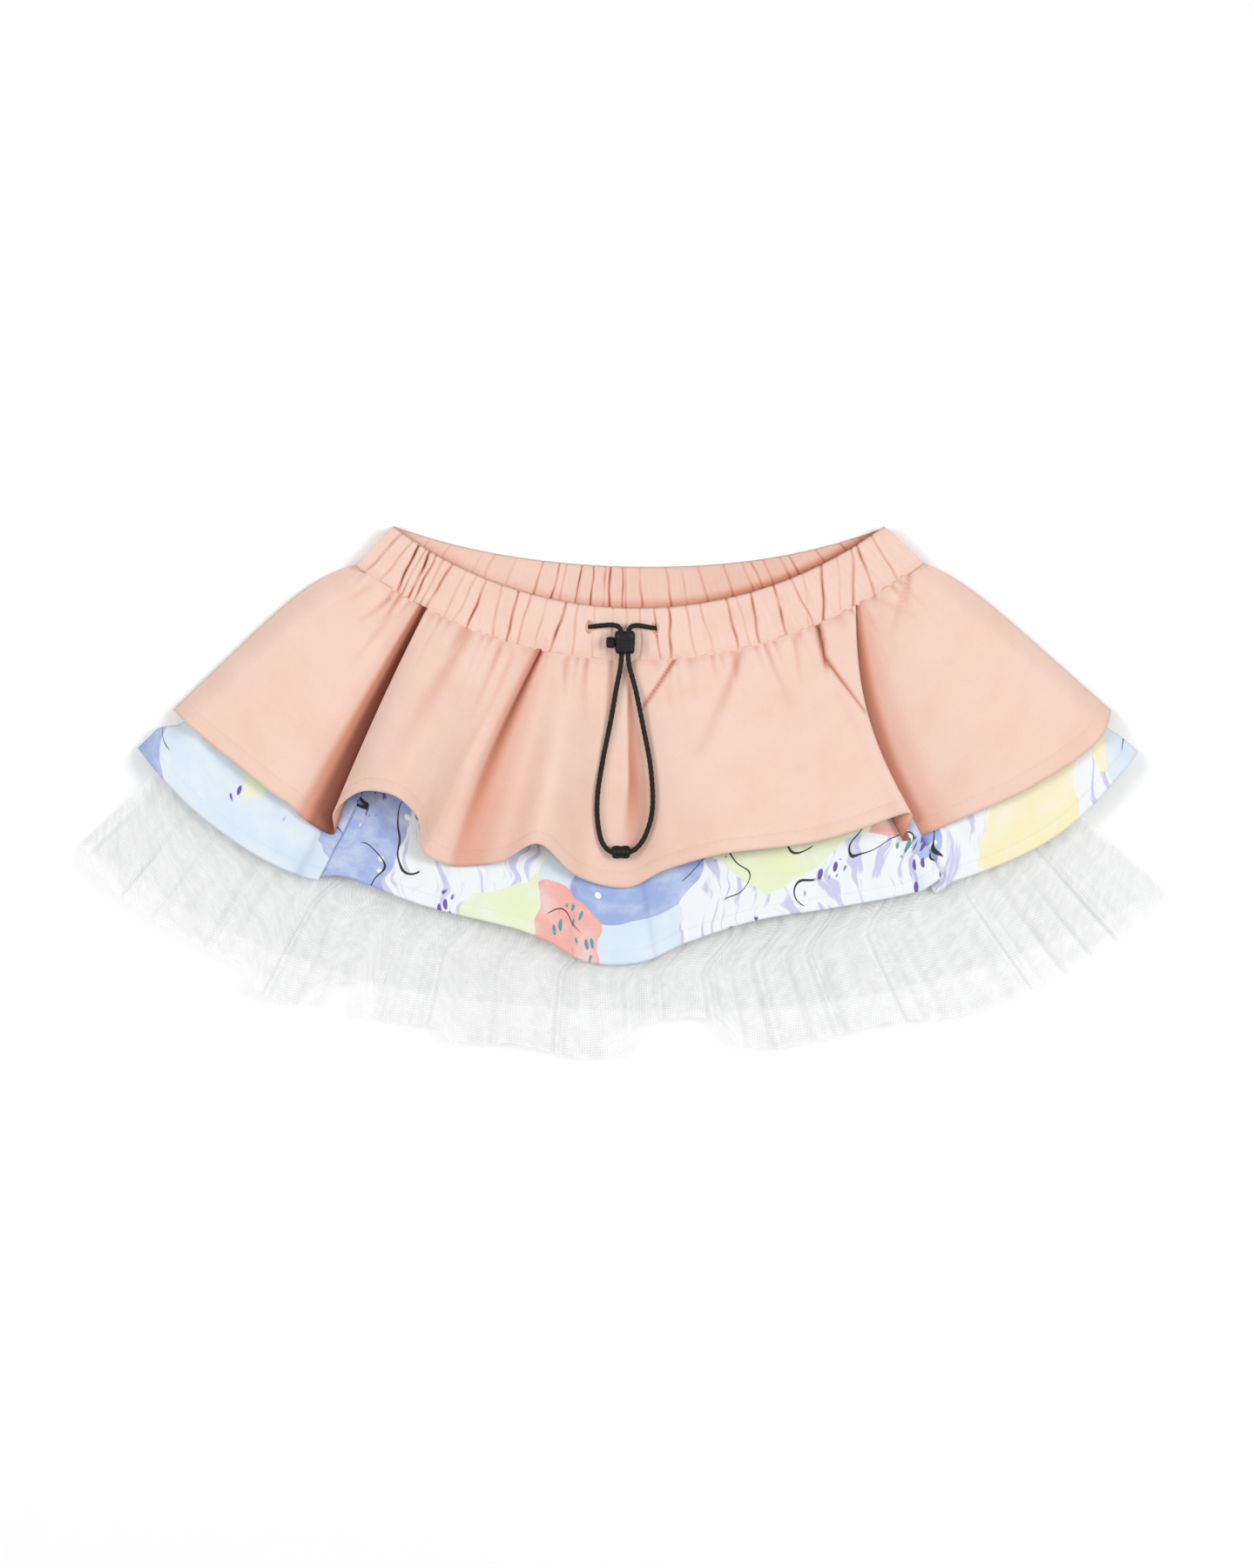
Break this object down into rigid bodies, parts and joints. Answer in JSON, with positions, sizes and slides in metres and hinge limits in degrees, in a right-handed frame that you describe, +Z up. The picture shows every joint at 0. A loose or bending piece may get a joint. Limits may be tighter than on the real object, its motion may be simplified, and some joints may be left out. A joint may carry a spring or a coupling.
{
  "type": "tulle skirt",
  "caption": "Child's skirt laid flat, with a gathered elastic waistband and drawcord, a flared plain tier, a printed tier and a pleated net tier below them.",
  "frame": {"origin": "on the surface that the skirt lies on, under the middle of the whole part's box", "axes": "+X to the right across the skirt as it is seen from above, +Y from the hem towards the waist, +Z up from the surface towards the front of the skirt"},
  "size_m": [0.5058, 0.245, 0.0404],
  "materials": {
    "peach_cloth": "matt plain weave with a faint sheen",
    "printed_cloth": null,
    "white_net": "soft fine net, half see-through",
    "black_cord": "round braid",
    "black_plastic": "moulded, slightly satin"
  },
  "bodies": {
    "root": {"outer_back": "peach_cloth", "print_back": "printed_cloth", "net_back": "white_net", "net_front": "white_net", "print_front": "printed_cloth", "outer_front": "peach_cloth", "waistband_back": "peach_cloth", "waistband_front": "peach_cloth", "drawcord": "black_cord", "cord_lock_body": "black_plastic", "cord_lock_button": "black_plastic", "cord_stopper": "black_plastic"}
  },
  "joints": []
}
